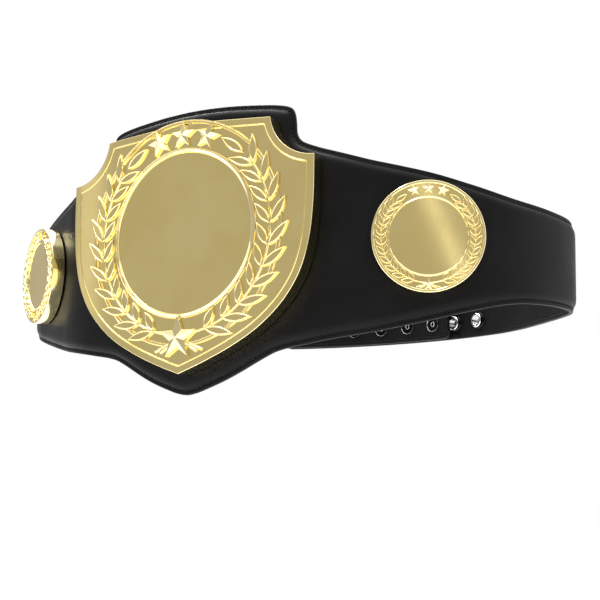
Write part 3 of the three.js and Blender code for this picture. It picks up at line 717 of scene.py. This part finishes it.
def leaf_form():
    """A pointed leaf along X from its base, with upright walls, a rolled rim and a level middle."""
    length, half, height = LEAF_FORM["length"], LEAF_FORM["width"] / 2, LEAF_FORM["height"]

    def ring(depth, up):
        t = 0.5 - 0.5 * np.cos(np.pi * np.arange(13) / 12)
        w = np.sin(np.pi * t ** LEAF_FORM["widest"]) ** LEAF_FORM["fullness"]
        shift = depth * LEAF_FORM["point"]
        x = shift + (length - 2 * shift) * t
        y = w * (half - depth)
        x, y = np.concatenate([x, x[-2:0:-1]]), np.concatenate([y, -y[-2:0:-1]])
        return np.column_stack([x, y, np.full(len(x), up * height)])

    steps = [(0, -0.35), (0.02, 0.6), (0.16, 0.84), (0.42, 0.98), (0.68, 1.0), (0.88, 0.92), (1.02, 0.78)]
    vertices, faces = skin([ring(*step) for step in steps])
    obj = new_object("leaf_form", vertices, faces)
    return mark_face(obj, [False] * (len(faces) - 1) + [True])


def star_form():
    """A star with one of its five points along X, upright walls, a narrow bevel and ten facets."""
    form = STAR_FORM

    def ring(radius, up):
        angles = np.radians(36 * np.arange(10))
        r = np.where(np.arange(10) % 2, radius * form["waist"], radius)
        return np.column_stack([r * np.cos(angles), r * np.sin(angles), np.full(10, up)])

    rows = [ring(form["radius"], form["root"]), ring(form["radius"], form["edge"] - form["bevel"]),
            ring(form["radius"] * 0.97, form["edge"]), ring(0.02, form["peak"])]
    vertices, faces = skin(rows)
    obj = new_object("star_form", vertices, faces)
    return mark_face(obj, [False] * len(faces))


def polar(distance, degrees):
    """Flat places round the disc, with the angle from straight down."""
    angle = np.radians(degrees)
    return np.stack([distance * np.sin(angle), -distance * np.cos(angle)], -1)


def wreath_leaves(name, wreath, group, form):
    base = np.linspace(*BASE_ANGLE, LEAVES)
    feet, tips, widths = [], [], []
    for side in (-1, 1):
        for reach, angles in (("outer", OUTER_TIP), ("inner", INNER_TIP)):
            lean = wreath["stem_width"] * (STEM_LEAN if reach == "outer" else -STEM_LEAN)
            feet.append(polar(wreath["stem"] + lean, side * base))
            tips.append(polar(wreath[reach], side * np.linspace(*angles, LEAVES)))
            widths.append(np.full(LEAVES, wreath["width"]))
        feet.append(polar(wreath["stem"], side * np.array([END_LEAF[0]])))
        tips.append(polar(wreath["stem"], side * np.array([END_LEAF[1]])))
        widths.append(np.array([wreath["width"] * wreath["end_width"]]))
    feet, tips, widths = np.concatenate(feet), np.concatenate(tips), np.concatenate(widths)
    count = len(feet)
    along = tips - feet
    length = np.linalg.norm(along, axis=1)
    seed = points_object(
        name + "_seed", np.column_stack([feet, np.zeros(count)]),
        along=np.column_stack([along / length[:, None], np.zeros(count)]),
        out=np.tile([0, 0, 1.0], (count, 1)),
        size=np.column_stack([length / LEAF_FORM["length"], widths, np.full(count, wreath["height"])]),
    )
    return grown(name, seed, group, {"Form": form, "Rim finish": gold_painted_highlight, "Face finish": gold_satin})


def wreath_stars(name, wreath, group, form):
    turns = [180 - STAR_SPACING, 180, 180 + STAR_SPACING]
    at = [polar(wreath["star"], t) for t in turns] + [polar(wreath["foot"], 0)]
    along = [polar(1, t) for t in turns] + [np.array([0, 1.0])]
    sizes = [(wreath["star_radius"], wreath["star_height"])] * len(turns)
    sizes.append((wreath["foot_radius"], wreath["foot_height"]))
    seed = points_object(
        name + "_seed", np.column_stack([at, np.zeros(4)]),
        along=np.column_stack([along, np.zeros(4)]),
        out=np.tile([0, 0, 1.0], (4, 1)),
        size=[(r / STAR_FORM["radius"], r / STAR_FORM["radius"], h) for r, h in sizes],
    )
    finishes = {"Rim finish": gold_painted_highlight, "Face finish": gold_painted_highlight}
    return grown(name, seed, group, {"Form": form, **finishes})


def bead(name, path, closed, profile, group, metal_finish=gold_painted_highlight):
    """Sweeps a (across, up) profile along a flat path; across is to the right of the path's run."""
    form = path_object(name + "_profile", [(x, -y, 0) for x, y in profile], True)
    seed = path_object(name + "_path", np.column_stack([path, np.zeros(len(path))]), closed)
    obj = grown(name, seed, group, {"Profile": form, "Finish": metal_finish})
    bpy.data.objects.remove(form)
    return obj


def circle(radius, sides):
    return polar(radius, 360 * np.arange(sides) / sides)


def half_round(width, height, sink=0.6):
    arc = [(width / 2 * math.cos(a), height * math.sin(a)) for a in np.linspace(0, math.pi, 9)]
    return arc + [(-width / 2, -sink), (width / 2, -sink)]


def stems(name, w, group):
    """The two stems of a wreath, and the doubled tails that cross below its foot star."""
    made = []
    for side in (-1, 1):
        path = polar(w["stem"], side * np.linspace(*STEM_ENDS, STEM_STEPS))
        made.append(bead(name, path, False, half_round(w["stem_width"], w["stem_width"] * 0.62), group))
        for spread in (w["tail_spread"] - w["tail_gap"], w["tail_spread"] + w["tail_gap"]):
            near = polar(w["tail"][0], side * (spread * 0.5 - TAIL_CROSSING))
            far = polar(w["tail"][1], side * spread)
            tail = np.array([near, far])
            made.append(bead(name, tail, False, half_round(w["tail_width"], w["tail_width"] * 0.6), group))
    return made


def shield_outline():
    """The plate's outline, clockwise from the middle of the top."""
    top = curve_through(SHIELD_TOP, OUTLINE_STEP, True)
    a, b = np.array(SHIELD_TOP[-1], float), np.array(SIDE_CORNER, float)
    chord = b - a
    half = np.linalg.norm(chord) / 2
    out = np.array([-chord[1], chord[0]]) / (2 * half)
    centre = (a + b) / 2 + out * math.sqrt(SHOULDER_RADIUS**2 - half**2)
    start = math.atan2(*(a - centre)[::-1])
    sweep = (math.atan2(*(b - centre)[::-1]) - start) % (2 * math.pi)
    angles = start + sweep * np.arange(1, SHOULDER_STEPS) / SHOULDER_STEPS
    shoulder = centre + SHOULDER_RADIUS * np.stack([np.cos(angles), np.sin(angles)], 1)
    side = curve_through(SHIELD_SIDE, OUTLINE_STEP)
    right = np.concatenate([top, shoulder, side])
    return np.concatenate([right, (right[1:-1] * (-1, 1))[::-1]])


def shield_base():
    """The flat shield, cut across often enough to bend onto its seat."""
    outline = shield_outline()
    steps = [(2.0, SEAT_GAP, 0), (0.5, SEAT_GAP, 0), (0, SEAT_GAP + 0.5, 1), (0, SEAT_GAP + 0.8, 1),
             (0, SHIELD_FACE - 0.5, 1), (0, SHIELD_FACE - 0.3, 1),
             (0.09, SHIELD_FACE - 0.09, 1), (0.3, SHIELD_FACE, 1)]
    form = bmesh.new()
    rings = [[form.verts.new((*p, off)) for p in inset(outline, depth)] for depth, off, _ in steps]
    n = len(outline)
    for ring, above, step in zip(rings, rings[1:], steps[1:]):
        for j in range(n):
            wall = form.faces.new((ring[j], ring[(j + 1) % n], above[(j + 1) % n], above[j]))
            wall.material_index = step[2]
    for ring, mark in ((rings[0], 1), (rings[-1], 0)):
        form.faces.new(ring).material_index = mark
    for s in SHIELD_CUTS:
        bmesh.ops.bisect_plane(form, geom=form.verts[:] + form.edges[:] + form.faces[:], dist=1e-5,
                               plane_co=(s, 0, 0), plane_no=(1, 0, 0))
    mesh = bpy.data.meshes.new("shield_base")
    form.to_mesh(mesh)
    form.free()
    for metal_finish in (gold_satin, gold_painted_highlight):
        mesh.materials.append(metal_finish)
    obj = bpy.data.objects.new("shield_base", mesh)
    bpy.context.scene.collection.objects.link(obj)
    return remap(obj, lambda p: p - (0, SHIELD_CENTRE, SHIELD_FACE))


def side_base():
    """A round plate with a raised rim, its face at height 0."""
    r, rim, back = SIDE_RADIUS, SIDE_RIM, SEAT_GAP - SIDE_FACE
    profile = [(0, back), (r - 0.5, back), (r, back + 0.5), (r, back + 0.9), (r, 0.05), (r, 0.35),
               (r - 0.12, 0.66), (r - 0.4, 0.92), (r - 0.8, 1.0), (r - rim + 0.5, 0.95),
               (r - rim + 0.15, 0.7), (r - rim, 0), (0, 0)]
    return turned("side_base", profile, SIDE_SIDES, [gold_satin, gold_painted_highlight], [1] * 11 + [0])


# Profiles of the ring round the shield's disc and of the double hoop, from the inner edge out.
DISC_RING = [(-0.4, -0.6), (0, 0.0), (0.12, 0.75), (0.45, 1.25), (0.85, 1.35), (1.3, 1.05), (2.2, 0.62),
             (2.9, 0.55), (3.1, 0.8), (3.35, 0.8), (3.6, 0.1), (3.6, -0.6)]
HOOP = [(0, -4.0), (0, 0.9), (0.2, 1.25), (0.5, 1.3), (0.75, 1.05), (0.9, 0.45), (1.75, 0.45), (1.9, 1.05),
        (2.15, 1.3), (2.5, 1.25), (2.7, 0.9), (2.7, -4.0)]


def plate(name, base, wreath, rings, seat):
    """A base with its wreath, stars and rings, set on its seat as one piece."""
    leaves = wreath_leaves(name + "_leaves", wreath, forms, leaf)
    stars = wreath_stars(name + "_stars", wreath, forms, star)
    parts = [(base, BASE_SHARP), (leaves, LEAF_SHARP), (stars, STAR_SHARP)]
    parts += [(obj, BEAD_SHARP) for obj in stems(name + "_stem", wreath, beads) + rings]
    for obj, sharp in parts:
        tidy(remap(obj, seat), sharp, PLATE_WELD)
    return joined(name, [obj for obj, _ in parts])


forms, beads = forms_tree(), bead_tree()
leaf, star = leaf_form(), star_form()


def seat_shield(points):
    p = points.copy()
    p[:, 2] += SHIELD_FACE
    p[:, 1] += SHIELD_CENTRE
    return wrap(p)


def seat_side(side):
    at = np.array([side * SIDE_PLATE_S])
    foot = wrap([[at[0], SIDE_PLATE_Z, SIDE_FACE]])[0]
    out = outward(at)[0]
    along = np.array([-out[1], out[0], 0])

    def seat(points):
        return foot + (points[:, :1] * along + points[:, 1:2] * (0, 0, 1) + points[:, 2:] * out) * MM

    return seat


border = trimmed(shield_outline(), BORDER_INSET) - (0, SHIELD_CENTRE)
shield = plate("shield", shield_base(), SHIELD_WREATH, [
    bead("shield_border", border, True, half_round(1.1, 0.5), beads, gold_satin),
    bead("shield_ring", circle(SHIELD_RING, SHIELD_SIDES), True, DISC_RING, beads),
    bead("shield_hoop", circle(SHIELD_HOOP, SHIELD_SIDES), True, HOOP, beads),
], seat_shield)
side_ring = [(x * SIDE_RING_SCALE, y * SIDE_RING_SCALE) for x, y in DISC_RING]
side_plates = [
    plate(name, side_base(), SIDE_WREATH,
          [bead("side_ring", circle(SIDE_RING, SIDE_SIDES), True, side_ring, beads)], seat_side(side))
    for name, side in (("side_disc_right", -1), ("side_disc_left", 1))
]
for template in (leaf, star):
    bpy.data.objects.remove(template)


# Snaps.

SNAP_SIDES = 40


def snap_object(name, profile, finishes, picks, s, off):
    """Turned snap halves in both rows at the places s, standing out from the strap, as one piece."""
    form = turned(name + "_form", [(r * MM, h * MM) for r, h in profile], SNAP_SIDES, finishes, picks)
    made = []
    for at in s:
        for z in (SNAP_ROW, -SNAP_ROW):
            foot = wrap([[at, z, off]])[0]
            out = Vector(outward(np.array([at]))[0])
            one = form.copy()
            one.data = form.data.copy()
            bpy.context.scene.collection.objects.link(one)
            turn = out.to_track_quat("Z", "Y").to_matrix().to_4x4()
            one.data.transform(Matrix.Translation(Vector(foot)) @ turn)
            made.append(one)
    bpy.data.objects.remove(form)
    return joined(name, made)


INNER_FACE = -PADDING - LEATHER
OUTER_PART_FACE = INNER_FACE + LIFT_HEIGHT
THROUGH = LEATHER + 0.3
# Profiles: radius, and height over the wearer's side of the leather. The picks say which of the two
# finishes each band between two rows takes.
CAP_AND_SOCKET = [(0, -0.6), (3.4, -0.6), (3.4, -3.2), (3.8, -3.5), (4.9, -3.5), (5.4, -3.1), (5.4, -0.9),
                  (6.0, -0.5), (6.0, -0.3), (1.6, -0.3), (1.6, THROUGH), (7.2, THROUGH),
                  (7.2, THROUGH + 0.3), (6.8, THROUGH + 0.8), (5.6, THROUGH + 1.3), (3.2, THROUGH + 1.7),
                  (0, THROUGH + 1.8)]
STUD = [(0, -0.75), (1.2, -0.72), (1.35, -0.95), (1.95, -0.97), (2.1, -0.72), (5.45, -0.62), (5.6, -0.88),
        (5.85, -0.85), (6.0, -0.5), (6.0, -0.3), (1.6, -0.3), (1.6, THROUGH), (4.9, THROUGH),
        (4.9, THROUGH + 0.3), (3.1, THROUGH + 0.7), (3.1, THROUGH + 2.5), (2.6, THROUGH + 2.9),
        (0, THROUGH + 2.9)]
socket_picks = [0] * 5 + [1] * 6 + [0] * 5
stud_picks = [0, 1, 1, 1, 0, 1, 1, 1] + [0] * 9
all_places = [s for s, _ in SNAPS]
closed_places = [s for s, closed in SNAPS if closed]
sockets = snap_object("snap_sockets", CAP_AND_SOCKET, [nickel, snap_black], socket_picks, all_places,
                      OUTER_PART_FACE)
studs = snap_object("snap_studs", STUD, [snap_black, nickel], stud_picks, closed_places, INNER_FACE)


# Every piece rides on the one body.
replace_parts(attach(strap, "root"), "strap")
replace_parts(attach(shield, "root"), "shield_plate")
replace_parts(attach(side_plates[0], "root"), "side_plate_right")
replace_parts(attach(side_plates[1], "root"), "side_plate_left")
socket_nodes = [n for n in frame["nodes"] if n.startswith("snap_socket")]
stud_nodes = [n for n in frame["nodes"] if n.startswith("snap_stud")]
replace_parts(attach(sockets, "root"), *socket_nodes)
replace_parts(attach(studs, "root"), *stud_nodes)
for seam in (face_seam, lining_seam):
    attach(seam, "root")


# Camera, floor and light.


# The eye in millimetres, its yaw, pitch and roll in degrees, and its focal length in pixels.
EYE, LOOK = (556.6, -857.15, -161.15), (-32.464, 8.552, 0.845)
FOCAL, IMAGE_WIDTH, SENSOR_WIDTH = 1358.95, 600, 36

# In metres from here on, with powers in watts.
FLOOR_LEVEL, FLOOR_REACH = -0.62, 30
LAMPS = [("key", (-0.5, -0.9, 2.8), (1.6, 1.0), 45), ("top", (-1.3, 0.5, 2.1), (1.2, 0.6), 50)]
STREAK_DISTANCE, STREAK_WIDTH, STREAK_POWER = 1.4, 0.02, 0.014
STREAK_STRETCH = 3
FAR_LIMIT = 60

# The studio's level, and what its brighter parts add: by height from straight down to straight up, and
# by side from the back, past the wearer's right, the front and the wearer's left, to the back.
STUDIO_LEVEL, STUDIO_GAIN = 0.53, 0.9
BY_HEIGHT = [(0.0, 0.7), (0.3, 0.6), (0.4, 0.0), (0.76, 0.0), (0.86, 1.7), (1.0, 2.0)]
BY_SIDE = [(0.0, 0.3), (0.12, 0.9), (0.2, 0.0), (0.345, 0.0), (0.352, 0.3), (0.356, 0.3), (0.364, 0.0),
           (0.6, 0.0), (0.7, 0.1), (0.8, 1.2), (0.9, 0.6), (1.0, 0.3)]


def camera():
    yaw, pitch, roll = (math.radians(v) for v in LOOK)
    ahead = Vector((math.sin(yaw) * math.cos(pitch), math.cos(yaw) * math.cos(pitch), math.sin(pitch)))
    level = Vector((math.cos(yaw), -math.sin(yaw), 0))
    above = level.cross(ahead)
    right = level * math.cos(roll) + above * math.sin(roll)
    up = above * math.cos(roll) - level * math.sin(roll)
    data = bpy.data.cameras.new("camera")
    data.sensor_width = SENSOR_WIDTH
    data.lens = FOCAL * SENSOR_WIDTH / IMAGE_WIDTH
    data.clip_end = FAR_LIMIT
    eye = bpy.data.objects.new("camera", data)
    turn = Matrix((right, up, -ahead)).transposed().to_4x4()
    eye.matrix_world = Matrix.Translation(Vector(EYE) * MM) @ turn
    bpy.context.scene.collection.objects.link(eye)
    bpy.context.scene.camera = eye


def floor():
    material, _ = finish("pale_floor", (0.86, 0.86, 0.86), 0.0, 0.8)
    far = FLOOR_REACH
    corners = [(x, y, FLOOR_LEVEL) for x, y in ((-far, -far), (far, -far), (far, far), (-far, far))]
    new_object("floor", corners, [(0, 1, 2, 3)], [material])


def new_lamp(name, size, power):
    data = bpy.data.lights.new(name, "AREA")
    data.shape = "RECTANGLE"
    data.size, data.size_y = size
    data.energy = power
    lamp = bpy.data.objects.new(name, data)
    bpy.context.scene.collection.objects.link(lamp)
    return lamp


def soft_light(name, at, size, power):
    """A wide lamp that shines at the middle of the loop."""
    lamp = new_lamp(name, size, power)
    lamp.location = at
    lamp.rotation_euler = (-Vector(at)).to_track_quat("-Z", "Y").to_euler()


def disc_streak():
    """A narrow lamp that the left side plate mirrors from the top of its disc to the lower right."""
    out = outward(np.array([SIDE_PLATE_S]))[0]
    along = np.array([-out[1], out[0], 0])
    middle = wrap([[SIDE_PLATE_S, SIDE_PLATE_Z, SIDE_FACE]])[0]
    eye = np.array(EYE) * MM
    ends = []
    for a, b in STREAK_ENDS:
        at = middle + (along * a + np.array([0, 0, b])) * MM
        ray = at - eye
        ray = ray / np.linalg.norm(ray)
        ray = ray - 2 * (ray @ out) * out
        ends.append(at + ray * STREAK_DISTANCE)
    centre, long = (ends[0] + ends[1]) / 2, ends[0] - ends[1]
    lamp = new_lamp("streak", (STREAK_WIDTH, STREAK_STRETCH * float(np.linalg.norm(long))), STREAK_POWER)
    back = Vector(centre - middle).normalized()
    up = Vector(long).normalized()
    up = (up - back * up.dot(back)).normalized()
    turn = Matrix((up.cross(back), up, back)).transposed().to_4x4()
    lamp.matrix_world = Matrix.Translation(Vector(centre)) @ turn


def surroundings():
    """Even grey with brighter parts for the metal to mirror, seen as plain white behind the object."""
    world = bpy.data.worlds.new("studio")
    bpy.context.scene.world = world
    world.use_nodes = True
    nodes, links = world.node_tree.nodes, world.node_tree.links
    nodes.clear()
    out = nodes.new("ShaderNodeOutputWorld")
    way = nodes.new("ShaderNodeTexCoord")
    split = nodes.new("ShaderNodeSeparateXYZ")
    links.new(way.outputs["Generated"], split.inputs[0])

    def math_node(kind, *values):
        node = nodes.new("ShaderNodeMath")
        node.operation = kind
        for socket, value in zip(node.inputs, values):
            if hasattr(value, "is_linked"):
                links.new(value, socket)
            else:
                socket.default_value = value
        return node.outputs[0]

    def ramp(value, rows):
        node = nodes.new("ShaderNodeValToRGB")
        node.color_ramp.interpolation = "EASE"
        while len(node.color_ramp.elements) < len(rows):
            node.color_ramp.elements.new(0.5)
        for element, (position, level) in zip(node.color_ramp.elements, rows):
            element.position = position
            element.color = (level, level, level, 1)
        links.new(value, node.inputs[0])
        return node.outputs[0]

    height = math_node("MULTIPLY_ADD", split.outputs["Z"], 0.5, 0.5)
    front = math_node("MULTIPLY", split.outputs["Y"], -1.0)
    azimuth = math_node("ARCTAN2", split.outputs["X"], front)
    around = math_node("ADD", math_node("DIVIDE", azimuth, 2 * math.pi), 0.5)
    most = math_node("MAXIMUM", ramp(height, BY_HEIGHT), ramp(around, BY_SIDE))
    lit = nodes.new("ShaderNodeBackground")
    lit.inputs["Color"].default_value = (1, 1, 1, 1)
    links.new(math_node("MULTIPLY_ADD", most, STUDIO_GAIN, STUDIO_LEVEL), lit.inputs["Strength"])
    seen = nodes.new("ShaderNodeBackground")
    seen.inputs["Color"].default_value = (1, 1, 1, 1)
    ray = nodes.new("ShaderNodeLightPath")
    mix = nodes.new("ShaderNodeMixShader")
    links.new(ray.outputs["Is Camera Ray"], mix.inputs[0])
    links.new(lit.outputs[0], mix.inputs[1])
    links.new(seen.outputs[0], mix.inputs[2])
    links.new(mix.outputs[0], out.inputs["Surface"])


camera()
floor()
surroundings()
for lamp in LAMPS:
    soft_light(*lamp)
disc_streak()
bpy.context.scene.view_settings.view_transform = "Standard"
